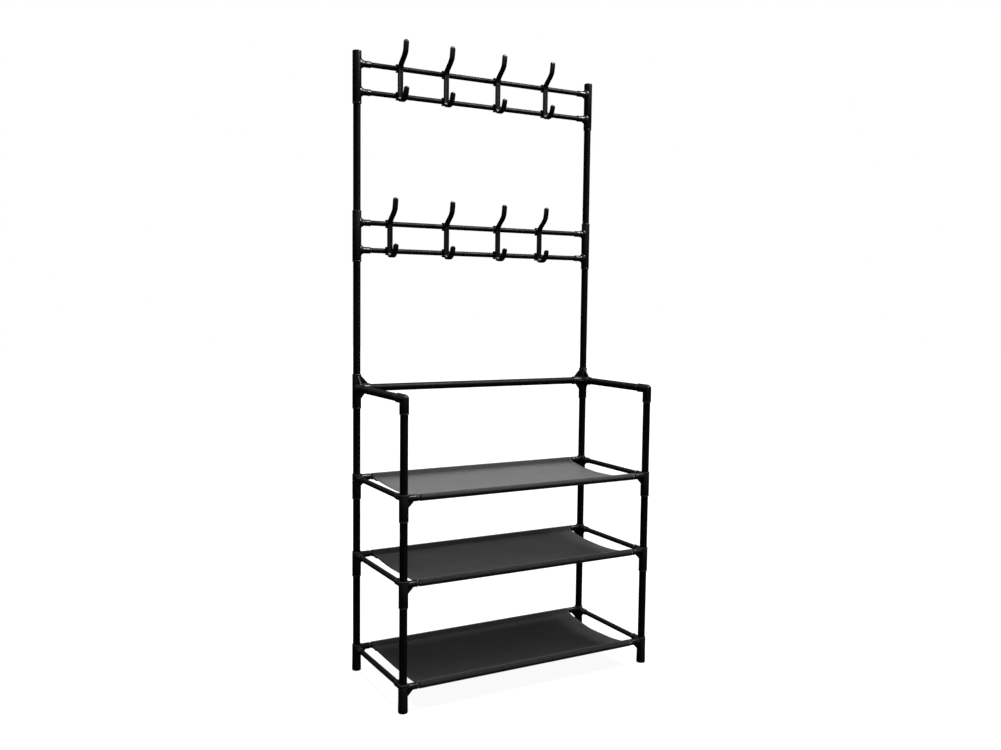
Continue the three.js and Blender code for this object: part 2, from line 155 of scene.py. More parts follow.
# Yaw, pitch and roll in degrees.
CAMERA_TURN = (-29.44, -4.37, 0.69)
CAMERA_PLACE = (-1.0397, -1.8251, 0.8096)
SENSOR_WIDTH = 36
FOCAL_PIXELS, IMAGE_PIXELS = 968, 1001


# ---------------------------------------------------------------- materials
def new_material(name):
    """A material with its nodes, its links, its main shader and the object's own coordinates."""
    mat = bpy.data.materials.new(name)
    mat.use_nodes = True
    nodes, links = mat.node_tree.nodes, mat.node_tree.links
    bsdf = nodes["Principled BSDF"]
    coords = nodes.new("ShaderNodeTexCoord")
    return mat, nodes, links, bsdf, coords.outputs["Object"]


def noise_node(nodes, links, vector, scale, detail=3.0, stretch=None):
    """Noise from 0 to 1 over the coordinates, which may be stretched first."""
    if stretch:
        mapping = nodes.new("ShaderNodeMapping")
        mapping.inputs["Scale"].default_value = stretch
        links.new(vector, mapping.inputs["Vector"])
        vector = mapping.outputs["Vector"]
    tex = nodes.new("ShaderNodeTexNoise")
    tex.inputs["Scale"].default_value = scale
    tex.inputs["Detail"].default_value = detail
    links.new(vector, tex.inputs["Vector"])
    return tex.outputs["Fac"]


def ramp(nodes, links, fac, stops):
    """Turn a value into a colour or grey by (place, tone) stops."""
    node = nodes.new("ShaderNodeValToRGB")
    elements = node.color_ramp.elements
    while len(elements) < len(stops):
        elements.new(0.5)
    for element, (place, value) in zip(elements, stops):
        element.position = place
        element.color = (*value, 1) if isinstance(value, tuple) else (value, value, value, 1)
    links.new(fac, node.inputs["Fac"])
    return node.outputs["Color"]


def bump(nodes, links, height, strength, distance, below=None):
    """A relief as a normal, laid over another one if it is given."""
    node = nodes.new("ShaderNodeBump")
    node.inputs["Strength"].default_value = strength
    node.inputs["Distance"].default_value = distance
    links.new(height, node.inputs["Height"])
    if below is not None:
        links.new(below, node.inputs["Normal"])
    return node.outputs["Normal"]


def edge_wear_and_painted_highlight(nodes, links, colour, wear_and_highlight_colour, amount):
    """Edge wear and painted highlight: sharp outward turns lighten a little as wear, and the bead rims and web
    edges marked on the mesh are painted lighter as a highlight.
    """
    geometry = nodes.new("ShaderNodeNewGeometry")
    sharp = ramp(nodes, links, geometry.outputs["Pointiness"], [(0.52, 0.0), (0.62, amount)])
    highlight_mark = nodes.new("ShaderNodeAttribute")
    highlight_mark.attribute_name = "painted_edge_highlight"
    either = nodes.new("ShaderNodeMath")
    either.operation = "MAXIMUM"
    links.new(sharp, either.inputs[0])
    links.new(highlight_mark.outputs["Fac"], either.inputs[1])
    mix = nodes.new("ShaderNodeMix")
    mix.data_type = "RGBA"
    links.new(either.outputs[0], mix.inputs["Factor"])
    links.new(colour, mix.inputs["A"])
    mix.inputs["B"].default_value = (*wear_and_highlight_colour, 1)
    return mix.outputs["Result"]


def powder_coat():
    """Black satin powder coat on steel tube: faint orange peel, slight cloudiness along the tube."""
    mat, nodes, links, bsdf, vector = new_material("tube_black_coat")
    cloud = noise_node(nodes, links, vector, 9.0, 4.0)
    tones = [(0.3, (0.0012, 0.0012, 0.0013)), (0.75, (0.0027, 0.0027, 0.0029))]
    colour = ramp(nodes, links, cloud, tones)
    links.new(edge_wear_and_painted_highlight(nodes, links, colour, (0.03, 0.03, 0.031), 0.5), bsdf.inputs["Base Color"])
    patches = noise_node(nodes, links, vector, 60.0, 5.0)
    rough = ramp(nodes, links, patches, [(0.3, 0.38), (0.7, 0.5)])
    links.new(rough, bsdf.inputs["Roughness"])
    bsdf.inputs["Specular IOR Level"].default_value = 0.12
    peel = noise_node(nodes, links, vector, 420.0, 2.0)
    links.new(bump(nodes, links, peel, 0.06, 0.0002), bsdf.inputs["Normal"])
    return mat


def moulded_plastic(name, dark, light, rough_low, rough_high, specular):
    """Moulded black plastic with a fine spark texture."""
    mat, nodes, links, bsdf, vector = new_material(name)
    cloud = noise_node(nodes, links, vector, 40.0, 4.0)
    colour = ramp(nodes, links, cloud, [(0.3, dark), (0.75, light)])
    # Sharp edges lighten a little as wear; the marked bead rims and web edges are painted lighter as a
    # highlight.
    links.new(edge_wear_and_painted_highlight(nodes, links, colour, (0.06, 0.06, 0.062), 0.6), bsdf.inputs["Base Color"])
    patches = noise_node(nodes, links, vector, 220.0, 4.0)
    rough = ramp(nodes, links, patches, [(0.3, rough_low), (0.7, rough_high)])
    links.new(rough, bsdf.inputs["Roughness"])
    bsdf.inputs["Specular IOR Level"].default_value = specular
    spark = noise_node(nodes, links, vector, 800.0, 2.0)
    wave = noise_node(nodes, links, vector, 120.0, 2.0)
    low = bump(nodes, links, wave, 0.12, 0.0004)
    links.new(bump(nodes, links, spark, 0.07, 0.0002, low), bsdf.inputs["Normal"])
    return mat


def shelf_cloth():
    """Dark grey coated non-woven cloth: fine woven relief, speckle, and a soft sheen at low angles."""
    mat, nodes, links, bsdf, _ = new_material("shelf_cloth_grey")
    laid = nodes.new("ShaderNodeAttribute")
    laid.attribute_name = "laid_flat"
    vector = laid.outputs["Vector"]
    fine = noise_node(nodes, links, vector, 260.0, 3.0)
    fibres = noise_node(nodes, links, vector, 260.0, 5.0, (1.0, 3.2, 1.0))
    cloud = noise_node(nodes, links, vector, 14.0, 4.0)
    base = ramp(nodes, links, fine, CLOTH_TONES)
    shade = ramp(nodes, links, cloud, [(0.3, 0.82), (0.7, 1.0)])
    mix = nodes.new("ShaderNodeMix")
    mix.data_type = "RGBA"
    mix.blend_type = "MULTIPLY"
    mix.inputs["Factor"].default_value = 1.0
    links.new(base, mix.inputs["A"])
    links.new(shade, mix.inputs["B"])
    links.new(mix.outputs["Result"], bsdf.inputs["Base Color"])
    rough = ramp(nodes, links, fibres, [(0.3, 0.62), (0.7, 0.85)])
    links.new(rough, bsdf.inputs["Roughness"])
    bsdf.inputs["Specular IOR Level"].default_value = 0.35
    bsdf.inputs["Sheen Weight"].default_value = 1.0
    bsdf.inputs["Sheen Roughness"].default_value = 0.4
    heights = []
    for axis in ("X", "Y"):
        wave = nodes.new("ShaderNodeTexWave")
        wave.bands_direction = axis
        wave.inputs["Scale"].default_value = 240.0
        wave.inputs["Distortion"].default_value = 1.2
        wave.inputs["Detail"].default_value = 1.0
        links.new(vector, wave.inputs["Vector"])
        heights.append(wave.outputs["Fac"])
    weave = nodes.new("ShaderNodeMath")
    weave.operation = "MULTIPLY"
    links.new(heights[0], weave.inputs[0])
    links.new(heights[1], weave.inputs[1])
    low = bump(nodes, links, fibres, 0.35, 0.0005)
    links.new(bump(nodes, links, weave.outputs[0], 0.3, 0.0003, low), bsdf.inputs["Normal"])
    return mat


def thread():
    """Grey sewing thread with a fine twist."""
    mat, nodes, links, bsdf, vector = new_material("stitch_thread")
    twist = noise_node(nodes, links, vector, 900.0, 2.0)
    colour = ramp(nodes, links, twist, [(0.3, (0.05, 0.05, 0.052)), (0.7, (0.11, 0.11, 0.115))])
    links.new(colour, bsdf.inputs["Base Color"])
    bsdf.inputs["Roughness"].default_value = 0.6
    links.new(bump(nodes, links, twist, 0.4, 0.0002), bsdf.inputs["Normal"])
    return mat


TUBE_MAT = powder_coat()
CONNECTOR_MAT = moulded_plastic(
    "connector_black_plastic", (0.009, 0.009, 0.0093), (0.014, 0.014, 0.0145), 0.24, 0.34, 0.34)
HOOK_MAT = moulded_plastic(
    "hook_black_plastic", (0.004, 0.004, 0.0042), (0.008, 0.008, 0.0083), 0.28, 0.38, 0.36)
CLOTH_MAT = shelf_cloth()
THREAD_MAT = thread()


# ---------------------------------------------------------------- mesh helpers
class Shell:
    """Points and faces of one piece, in metres, and which points are rims painted lighter as a highlight."""

    def __init__(self):
        self.points, self.faces, self.painted_edge_highlight = [], [], set()

    def mark_painted_highlight(self, ring, place):
        """Mark the ring to be painted lighter as a highlight where its profile point says so with a third
        number.
        """
        if len(place) > 2:
            self.painted_edge_highlight.update(ring)

    def ring(self, points):
        """Add the points and give their numbers."""
        start = len(self.points)
        self.points += [tuple(p) for p in points]
        return list(range(start, start + len(points)))

    def bridge(self, a, b):
        """Faces between two rings of the same length."""
        for i in range(len(a)):
            j = (i + 1) % len(a)
            self.faces.append((a[i], a[j], b[j], b[i]))

    def cap(self, ring, centre, flip=False):
        """Close a ring with a fan round the centre."""
        middle = self.ring([centre])[0]
        for i in range(len(ring)):
            j = (i + 1) % len(ring)
            self.faces.append((ring[j], ring[i], middle) if flip else (ring[i], ring[j], middle))

    def loft(self, rings, closed=False):
        """Join the rings one after another, and the last to the first if closed."""
        made = [self.ring(r) for r in rings]
        for a, b in zip(made, made[1:]):
            self.bridge(a, b)
        if closed:
            self.bridge(made[-1], made[0])
        return made

    def join(self, mesh_points, mesh_faces, painted_edge_highlight=()):
        """Add a whole mesh to the piece."""
        start = len(self.points)
        self.painted_edge_highlight.update(start + i for i in painted_edge_highlight)
        self.points += [tuple(p) for p in mesh_points]
        self.faces += [tuple(start + i for i in f) for f in mesh_faces]


def basis(axis):
    """Two directions across an axis."""
    axis = Vector(axis).normalized()
    side = Vector((0, 0, 1)).cross(axis) if abs(axis.z) < 0.9 else Vector((1, 0, 0))
    side.normalize()
    return side, axis.cross(side)


def circle(origin, axis, radius, along, sides):
    """Points round an axis, at a distance along it."""
    side, up = basis(axis)
    centre = Vector(origin) + Vector(axis).normalized() * along
    return [
        (centre + (side * math.cos(TAU * i / sides) + up * math.sin(TAU * i / sides)) * radius) * MM
        for i in range(sides)
    ]


def revolve(shell, profile, origin, axis, sides=ROUND_SIDES, closed=False):
    """Turn a profile of (radius, along) round an axis. Ends on the axis close with a fan."""
    first, last = profile[0], profile[-1]
    body = [p for p in profile if p[0] > 1e-6]
    rings = shell.loft([circle(origin, axis, p[0], p[1], sides) for p in body], closed)
    # Profile points with a third number are marked to be painted lighter as a highlight.
    for ring, place in zip(rings, body):
        shell.mark_painted_highlight(ring, place)
    direction = Vector(axis).normalized()
    if first[0] <= 1e-6:
        shell.cap(rings[0], (Vector(origin) + direction * first[1]) * MM, flip=True)
    if last[0] <= 1e-6:
        shell.cap(rings[-1], (Vector(origin) + direction * last[1]) * MM)


def rounded_top(corner_r, top, radius, steps=6):
    """Profile points round the upper outer corner."""
    return [
        (corner_r - radius + radius * math.cos(math.pi / 2 * i / steps),
         top - radius + radius * math.sin(math.pi / 2 * i / steps))
        for i in range(steps + 1)
    ]


def make_object(name, shell, material, angle=38.0):
    """The shell as an object, smooth except where faces meet at more than the angle."""
    mesh = bpy.data.meshes.new(name)
    mesh.from_pydata(shell.points, [], shell.faces)
    # Marked rim and edge points are painted lighter as a highlight by the material.
    painted_edge_highlight = mesh.attributes.new("painted_edge_highlight", "FLOAT", "POINT")
    marks = [PAINTED_EDGE_HIGHLIGHT if i in shell.painted_edge_highlight else 0.0 for i in range(len(shell.points))]
    painted_edge_highlight.data.foreach_set("value", marks)
    mesh.validate()
    work = bmesh.new()
    work.from_mesh(mesh)
    bmesh.ops.remove_doubles(work, verts=work.verts, dist=1e-7)
    bmesh.ops.recalc_face_normals(work, faces=work.faces)
    work.to_mesh(mesh)
    work.free()
    mesh.shade_smooth()
    mesh.set_sharp_from_angle(angle=math.radians(angle))
    mesh.materials.append(material)
    piece = bpy.data.objects.new(name, mesh)
    bpy.context.scene.collection.objects.link(piece)
    return piece


def settle(piece, body, slot, *nodes):
    """Put the piece on its body and in place of the CAD nodes it draws. The slot is not used."""
    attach(piece, body)
    if nodes:
        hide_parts(*nodes)
    return piece


def centre_mm(node):
    """Middle of a CAD node's box."""
    low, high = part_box(node)
    return (low + high) / 2 / MM


def span_mm(node, axis):
    """Where a CAD node's box starts and ends along an axis."""
    low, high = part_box(node)
    return low[axis] / MM, high[axis] / MM


# ---------------------------------------------------------------- tubes
def tube_shell(origin, axis, start, end, radius, wall):
    """An open tube with a small chamfer round each outer rim."""
    inner, lip = radius - wall, TUBE_LIP
    profile = [
        (inner, start), (radius - lip, start), (radius, start + lip),
        (radius, end - lip), (radius - lip, end), (inner, end),
    ]
    shell = Shell()
    revolve(shell, profile, origin, axis, closed=True)
    return shell


def add_tube(node, radius, wall, splits=()):
    """One tube for each stretch of the node between the given joints."""
    low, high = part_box(node)
    sizes = high - low
    axis_index = max(range(3), key=lambda i: sizes[i])
    axis = Vector([1 if i == axis_index else 0 for i in range(3)])
    centre = centre_mm(node)
    centre[axis_index] = 0
    start, end = span_mm(node, axis_index)
    marks = [start, *splits, end]
    for i, (a, b) in enumerate(zip(marks, marks[1:])):
        a_end = a + (HALF_JOINT_GAP if i else 0)
        b_end = b - (HALF_JOINT_GAP if i < len(marks) - 2 else 0)
        part = "" if len(marks) == 2 else ("_lower", "_upper")[i]
        shell = tube_shell(centre, axis, a_end, b_end, radius, wall)
        settle(make_object(f"{node}{part}_steel", shell, TUBE_MAT), "frame", "tube", node)


def add_tubes():
    for side in SIDES:
        for depth in DEPTHS:
            joint = centre_mm(f"middle_shelf_connector_{depth}_{side}").z
            add_tube(f"leg_tube_{depth}_{side}", TUBE_R, TUBE_WALL, [joint])
        add_tube(f"mast_tube_{side}", TUBE_R, TUBE_WALL, [centre_mm(f"lower_hook_connector_{side}").z])
        for node in (f"arm_post_tube_{side}", f"back_post_tube_{side}", f"arm_tube_{side}"):
            add_tube(node, TUBE_R, TUBE_WALL)
        for level in LEVELS:
            add_tube(f"{level}_shelf_side_rail_{side}", ROD_R, ROD_WALL)
    add_tube("arm_level_back_rod", TUBE_R, TUBE_WALL)
    for level in LEVELS:
        for depth in DEPTHS:
            add_tube(f"{level}_shelf_rod_{depth}", ROD_R, ROD_WALL)
    for rail in RAILS:
        for which in RODS_OF_RAIL:
            add_tube(f"{rail}_rail_rod_{which}", ROD_R, ROD_WALL)


# ---------------------------------------------------------------- moulded connectors
def bead(radius, rim, away):
    """Profile points of the rounded bead round a rim, from its foot out to the rim.

    away is +1 or -1, the direction from the rim to the foot. A third number marks the points to be painted
    lighter as a highlight.
    """
    points = [(radius, rim + away * (BEAD_BAND + BEAD_FOOT))]
    for i in range(BEAD_STEPS + 1):
        swell = math.sin(math.pi * i / BEAD_STEPS)
        along = rim + away * BEAD_BAND * (1 - i / BEAD_STEPS)
        points.append((radius - BEAD_ROOT + (BEAD + BEAD_ROOT) * swell, along, 1.0))
    return points


def sleeve_profile(bottom, top, stop_low, stop_high):
    """Outside, then both bores down to the stop between them, with a bead round each rim."""
    outer = [*reversed(bead(SLEEVE_R, bottom, 1)), *bead(SLEEVE_R, top, -1)]
    low = [(0, stop_low), (SLEEVE_BORE, stop_low), (SLEEVE_BORE, bottom)]
    high = [(SLEEVE_BORE, top), (SLEEVE_BORE, stop_high), (0, stop_high)]
    return [*low, *outer, *high]


def through_sleeve_profile(bottom, top):
    """The same without a stop, open from end to end."""
    whole = sleeve_profile(bottom, top, 0, 0)
    return [p for p in whole if p[0] > 1e-6 and p[1] != 0]


def saddle(radius, angle_cos, column_radius):
    """How far out the column's surface is, there where a socket meets it."""
    across = radius * angle_cos
    return math.sqrt(max(0.0, column_radius ** 2 - across ** 2))


def socket_shell(shell, origin, way, radius, bore, flare, flare_length):
    """A socket that grows out of the sleeve with a fillet, taller than wide, and ends in a small bead."""
    axis = Vector(way)
    side, up = basis(axis)
    base = Vector(origin)

    def ring(tall, offset, column_radius):
        wide = min(tall, SLEEVE_R - SOCKET_MARGIN)
        points = []
        for i in range(ROUND_SIDES):
            c, s = math.cos(TAU * i / ROUND_SIDES), math.sin(TAU * i / ROUND_SIDES)
            out = saddle(wide, c, column_radius) + offset
            points.append((base + axis * out + side * c * wide + up * s * tall) * MM)
        return points

    rings = [ring(radius + flare, 0, SLEEVE_R - SOCKET_SINK)]
    for i in range(FLARE_STEPS + 1):
        t = i / FLARE_STEPS
        tall = radius + flare * (1 - t) ** FLARE_POWER
        rings.append(ring(tall, flare_length * t + SOCKET_LIFT, SLEEVE_R))
    ends = [*bead(radius, REACH, -1), (bore, REACH), (bore, FLOOR)]
    rings += [circle(origin, axis, p[0], p[1], ROUND_SIDES) for p in ends]
    made = shell.loft(rings)
    # The socket's end bead is marked to be painted lighter as a highlight.
    for ring, place in zip(made[-len(ends):], ends):
        shell.mark_painted_highlight(ring, place)
    shell.cap(made[-1], (base + axis * FLOOR) * MM)


def plate_shell(shell, origin, first, second, outline):
    """A flat gusset drawn on two directions through the origin, with softened edges."""
    across = Vector(first).cross(Vector(second))
    work = bmesh.new()
    corners = []
    for offset in (-WEB_THICKNESS / 2, WEB_THICKNESS / 2):
        ring = []
        for out, up in outline:
            place = Vector(origin) + Vector(first) * out + Vector(second) * up + across * offset
            ring.append(work.verts.new(place))
        corners.append(ring)
    count = len(outline)
    work.faces.new(corners[0][::-1])
    work.faces.new(corners[1])
    for i in range(count):
        j = (i + 1) % count
        work.faces.new((corners[0][i], corners[0][j], corners[1][j], corners[1][i]))
    bmesh.ops.recalc_face_normals(work, faces=work.faces)
    edges = list(work.edges)
    bmesh.ops.bevel(work, geom=edges, offset=WEB_SOFTENING, segments=3, profile=0.5, affect="EDGES")
    work.verts.index_update()
    # The softened edges of the web are marked to be painted lighter as a highlight.
    edge = WEB_THICKNESS / 2 - WEB_FACE
    rim = [v.index for v in work.verts if abs((v.co - Vector(origin)).dot(across)) < edge]
    faces = [[v.index for v in f.verts] for f in work.faces]
    shell.join([v.co * MM for v in work.verts], faces, rim)
    work.free()


def web_shell(shell, origin, way, outline):
    """An upright gusset between a socket and its column."""
    plate_shell(shell, origin, way, (0, 0, 1), outline)


def level_web_shell(shell, origin, way_x, way_y):
    """A level three-cornered gusset between the two sockets."""
    near, far = SLEEVE_R - WEB_ROOT, REACH - SLEEVE_R + WEB_ROOT / 2
    plate_shell(shell, origin, way_x, way_y, [(near, near), (far, near), (near, far)])


def column_of(side, depth):
    """Where the centre line of a column of tubes stands."""
    c = centre_mm(f"leg_tube_{depth}_{side}")
    return c.x, c.y


def inward(side, depth):
    """The two directions from a column to its neighbours, across and front to back."""
    way_x = (1, 0, 0) if side == "left" else (-1, 0, 0)
    way_y = (0, 1, 0) if depth == "front" else (0, -1, 0)
    return way_x, way_y


def shelf_connector(kind, side, depth):
    """A sleeve with two sockets and a web under each. The lowest ones are the feet."""
    node = f"{kind}_{depth}_{side}"
    level = {"foot": "bottom", "middle_shelf_connector": "middle", "top_shelf_connector": "top"}[kind]
    x, y = column_of(side, depth)
    z = centre_mm(f"{level}_shelf_side_rail_{side}").z
    bottom, top = (v - z for v in span_mm(node, 2))
    shell = Shell()
    origin = (x, y, z)
    if kind == "foot":
        outer = [
            (0, bottom), *((SLEEVE_R + wider, bottom + up) for wider, up in FOOT_PROFILE),
            *bead(SLEEVE_R, top, -1),
            (SLEEVE_BORE, top), (SLEEVE_BORE, bottom + FOOT_FLOOR), (0, bottom + FOOT_FLOOR),
        ]
        revolve(shell, outer, origin, (0, 0, 1), SLEEVE_SIDES)
    elif kind == "middle_shelf_connector":
        revolve(shell, through_sleeve_profile(bottom, top), origin, (0, 0, 1), SLEEVE_SIDES, closed=True)
    else:
        revolve(shell, sleeve_profile(bottom, top, *TOP_SHELF_STOP), origin, (0, 0, 1), SLEEVE_SIDES)
    for way in inward(side, depth):
        socket_shell(shell, origin, way, SOCKET_R, SOCKET_BORE, *SHELF_FLARE)
        web_shell(shell, origin, way, SHELF_WEB)
    settle(make_object(f"{node}_moulding", shell, CONNECTOR_MAT), "frame", "connector", node)


def cross_connector(side):
    """A sleeve with sockets for the back rod and an arm, webbed above, below and between them."""
    node = f"cross_connector_{side}"
    x, y = column_of(side, "rear")
    z = centre_mm(f"arm_tube_{side}").z
    bottom, top = (v - z for v in span_mm(node, 2))
    origin = (x, y, z)
    shell = Shell()
    revolve(shell, sleeve_profile(bottom, top, *CROSS_STOP), origin, (0, 0, 1), SLEEVE_SIDES)
    for way in inward(side, "rear"):
        socket_shell(shell, origin, way, SLEEVE_R, SLEEVE_BORE, *CROSS_FLARE)
        web_shell(shell, origin, way, CROSS_UPPER_WEB)
        web_shell(shell, origin, way, CROSS_LOWER_WEB)
    level_web_shell(shell, origin, *inward(side, "rear"))
    settle(make_object(f"{node}_moulding", shell, CONNECTOR_MAT), "frame", "connector", node)


def elbow_connector(side):
    """Two sleeves that meet in a rounded corner."""
    node = f"elbow_connector_{side}"
    x, y = column_of(side, "front")
    z = centre_mm(f"arm_tube_{side}").z
    origin = (x, y, z)
    shell = Shell()
    outer = [
        (SLEEVE_R, 0), *bead(SLEEVE_R, REACH, -1),
        (SLEEVE_BORE, REACH), (SLEEVE_BORE, FLOOR), (0, FLOOR),
    ]
    for way in ((0, 0, -1), (0, 1, 0)):
        revolve(shell, outer, origin, way, SLEEVE_SIDES)
    turns = [math.pi * i / DOME_STEPS for i in range(DOME_STEPS + 1)]
    dome = [(SLEEVE_R * math.sin(turn), -SLEEVE_R * math.cos(turn)) for turn in turns]
    dome[0], dome[-1] = (0, -SLEEVE_R), (0, SLEEVE_R)
    revolve(shell, dome, origin, (1, 0, 0), SLEEVE_SIDES)
    settle(make_object(f"{node}_moulding", shell, CONNECTOR_MAT), "frame", "connector", node)


def hook_connector(rail, side):
    """A sleeve with a flared socket for each rod of its rail. The upper ones are closed by a cap."""
    node = f"{rail}_hook_connector_{side}"
    x, y = column_of(side, "rear")
    rods = [centre_mm(f"{rail}_rail_rod_{which}").z for which in RODS_OF_RAIL]
    z = sum(rods) / 2
    bottom, top = (v - z for v in span_mm(node, 2))
    origin = (x, y, z)
    shell = Shell()
    if rail == "lower":
        revolve(shell, through_sleeve_profile(bottom, top), origin, (0, 0, 1), SLEEVE_SIDES, closed=True)
    else:
        roof = top - CAP_THICKNESS
        outer = [
            (0, roof), (SLEEVE_BORE, roof), (SLEEVE_BORE, bottom), *reversed(bead(SLEEVE_R, bottom, 1)),
            *rounded_top(SLEEVE_R, top, CAP_ROUNDING), (0, top),
        ]
        revolve(shell, outer, origin, (0, 0, 1), SLEEVE_SIDES)
    way = inward(side, "rear")[0]
    for rod_z in rods:
        socket_shell(shell, (x, y, rod_z), way, SOCKET_R, SOCKET_BORE, *HOOK_FLARE)
    settle(make_object(f"{node}_moulding", shell, CONNECTOR_MAT), "frame", "connector", node)


def add_connectors():
    for side in SIDES:
        for depth in DEPTHS:
            for kind in ("foot", "middle_shelf_connector", "top_shelf_connector"):
                shelf_connector(kind, side, depth)
        cross_connector(side)
        elbow_connector(side)
        hook_connector("lower", side)
        hook_connector("upper", side)


# ---------------------------------------------------------------- double hooks
def smooth_line(points, per_span=5):
    """Catmull-Rom through the points."""
    pts = [Vector((p[0], p[1])) for p in points]
    pts = [pts[0] * 2 - pts[1], *pts, pts[-1] * 2 - pts[-2]]
    line = []
    for a, b, c, d in zip(pts, pts[1:], pts[2:], pts[3:]):
        for i in range(per_span):
            t = i / per_span
            square, cube = 2 * a - 5 * b + 4 * c - d, 3 * b - 3 * c + d - a
            line.append(0.5 * (2 * b + (c - a) * t + square * t * t + cube * t ** 3))
    line.append(pts[-2])
    return line


def share(value):
    """The value kept between 0 and 1."""
    return max(0.0, min(1.0, value))


def hook_section(half_width, half_depth, groove):
    """Rounded bar section as (across, through), its front face hollowed by the groove."""
    corner = min(HOOK_CORNER, half_depth * CORNER_LIMIT)
    flat_x, flat_y = half_width - corner, half_depth - corner
    points = []
    for cx, cy, start in ((1, 1, 0), (-1, 1, 90), (-1, -1, 180), (1, -1, 270)):
        for i in range(5):
            a = math.radians(start + 22.5 * i)
            points.append((cx * flat_x + corner * math.cos(a), cy * flat_y + corner * math.sin(a)))
        if start == 0:
            for k in range(1, 2 * GROOVE_HALF_STEPS):
                x = flat_x * (1 - k / GROOVE_HALF_STEPS)
                dip = groove * max(0.0, math.cos(math.pi / 2 * x / flat_x) ** GROOVE_POWER)
                points.append((x, half_depth - dip))
    return points


def length_marks(line):
    """How far along the line each of its points is."""
    marks = [0.0]
    for a, b in zip(line, line[1:]):
        marks.append(marks[-1] + (b - a).length)
    return marks


def point_on(line, marks, distance):
    """The point of the line that is that far along it."""
    index = min(max(bisect.bisect_right(marks, distance) - 1, 0), len(line) - 2)
    part = (distance - marks[index]) / max(marks[index + 1] - marks[index], 1e-6)
    return line[index].lerp(line[index + 1], part)


def hook_stations(total):
    """Distances along a hook of its sections: closer together round both ends."""
    dome = [HOOK_TIP * (1 - math.cos(math.pi / 2 * k / TIP_STEPS)) for k in range(1, TIP_STEPS)]
    straight = [HOOK_TIP + (total - 2 * HOOK_TIP) * k / BAR_STEPS for k in range(BAR_STEPS + 1)]
    return [*dome, *straight, *(total - d for d in reversed(dome))]


def hook_shell():
    """A double hook with its two clips: a bar, broader in the middle and grooved in front."""
    shell = Shell()
    line = smooth_line(HOOK_LINE)
    marks = length_marks(line)
    total = marks[-1]
    rings = []
    for at in hook_stations(total):
        point = point_on(line, marks, at)
        ahead, behind = (point_on(line, marks, d) for d in (min(at + 1, total), max(at - 1, 0)))
        along = (ahead - behind).normalized()
        outward = Vector((-along.y, along.x))
        end = min(at, total - at)
        tip = math.sqrt(1 - max(0.0, 1 - end / HOOK_TIP) ** 2)
        broad = share((at - BROAD_UPPER) / BROAD_FADE) * share((total - BROAD_LOWER - at) / BROAD_FADE)
        groove = share((UP - GROOVE_UNDER - point.y) / GROOVE_FADE) * share((GROOVE_OUT - point.x) / GROOVE_FADE)
        half_width = (HOOK_HALF_WIDTH + HOOK_BROADENING * broad) * tip
        section = hook_section(half_width, HOOK_HALF_DEPTH * tip, HOOK_GROOVE * groove)
        rings.append([
            Vector((across, -(point.x + outward.x * through), point.y + outward.y * through)) * MM
            for across, through in section
        ])
    made = shell.loft(rings)
    for ring, place, flip in ((made[0], line[0], True), (made[-1], line[-1], False)):
        shell.cap(ring, Vector((0, -place.x, place.y)) * MM, flip=flip)
    for level in (UP, DOWN):
        clip_shell(shell, level)
    return shell


def clip_shell(shell, level):
    """A C-clip round one rod, open to the back, with rounded rims."""
    work = bmesh.new()
    rows = []
    for x in (-CLIP_HALF_WIDTH, CLIP_HALF_WIDTH):
        ring = []
        for r in (CLIP_R, CLIP_BORE):
            for i in range(CLIP_STEPS + 1):
                k = i if r == CLIP_R else CLIP_STEPS - i
                angle = (math.pi - CLIP_MOUTH) * (k / CLIP_STEPS * 2 - 1)
                ring.append(work.verts.new((x, -r * math.cos(angle), level + r * math.sin(angle))))
        rows.append(ring)
    count = len(rows[0])
    for ring, flip in ((rows[0], True), (rows[1], False)):
        for i in range(CLIP_STEPS):
            quad = [ring[i], ring[i + 1], ring[count - 2 - i], ring[count - 1 - i]]
            work.faces.new(quad[::-1] if flip else quad)
    for i in range(count):
        j = (i + 1) % count
        work.faces.new((rows[0][i], rows[0][j], rows[1][j], rows[1][i]))
    bmesh.ops.recalc_face_normals(work, faces=work.faces)
    sharp = [e for e in work.edges if len(e.link_faces) == 2 and e.calc_face_angle() > 0.9]
    bmesh.ops.bevel(work, geom=sharp, offset=CLIP_SOFTENING, segments=3, profile=0.5, affect="EDGES")
    work.verts.index_update()
    shell.join([v.co * MM for v in work.verts], [[v.index for v in f.verts] for f in work.faces])
    work.free()


def add_hooks():
    """Eight copies of one hook, each where its CAD node is."""
    shared = make_object("hook_pattern", hook_shell(), HOOK_MAT)
    for rail in RAILS:
        rods = [centre_mm(f"{rail}_rail_rod_{which}") for which in RODS_OF_RAIL]
        middle = (rods[0] + rods[1]) / 2
        for number in range(1, 5):
            node = f"{rail}_hook_{number}"
            piece = bpy.data.objects.new(f"{node}_moulding", shared.data.copy())
            bpy.context.scene.collection.objects.link(piece)
            place = Vector((centre_mm(node).x, middle.y, middle.z)) * MM
            piece.data.transform(Matrix.Translation(place))
            settle(piece, node, "hook", node)
    bpy.data.objects.remove(shared)


# ---------------------------------------------------------------- sewn cloth shelves
def sag_at(t):
    """Height of the panel, t running from -1 at the front seam to 1 at the rear one."""
    return -SEAM_DROP - (SAG - SEAM_DROP) * (1 - t * t)


def reach_at(depth, half_x):
    """Half the cloth's width part of the way from the middle to the rods: the sides pull in a little."""
    return half_x - HOLLOW * (1 - min(1.0, abs(depth)) ** 2)


